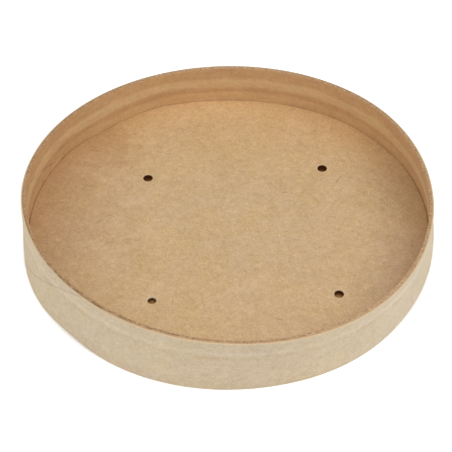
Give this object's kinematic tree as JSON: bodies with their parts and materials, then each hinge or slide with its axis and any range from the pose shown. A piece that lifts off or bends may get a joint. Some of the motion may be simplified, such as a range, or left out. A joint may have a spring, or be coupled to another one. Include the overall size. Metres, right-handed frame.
{
  "type": "paper soup bowl lid",
  "caption": "Shallow round kraft paper lid: a wound two-ply paper ring round a set-in board disc with small vents, open mouth up.",
  "frame": {"origin": "middle of the closed end's rim, on which the lid lies with its mouth up", "axes": "+Z along the ring's axis, out of the mouth; +X to the right and +Y to the back as the picture shows the lid"},
  "size_m": [0.1548, 0.1548, 0.0225],
  "materials": {
    "brown_board": "matte",
    "pale_kraft": "matte",
    "disc_board": "matte"
  },
  "bodies": {
    "root": {"inner_ply": "brown_board", "outer_ply": "pale_kraft", "top_disc": "disc_board"}
  },
  "joints": []
}
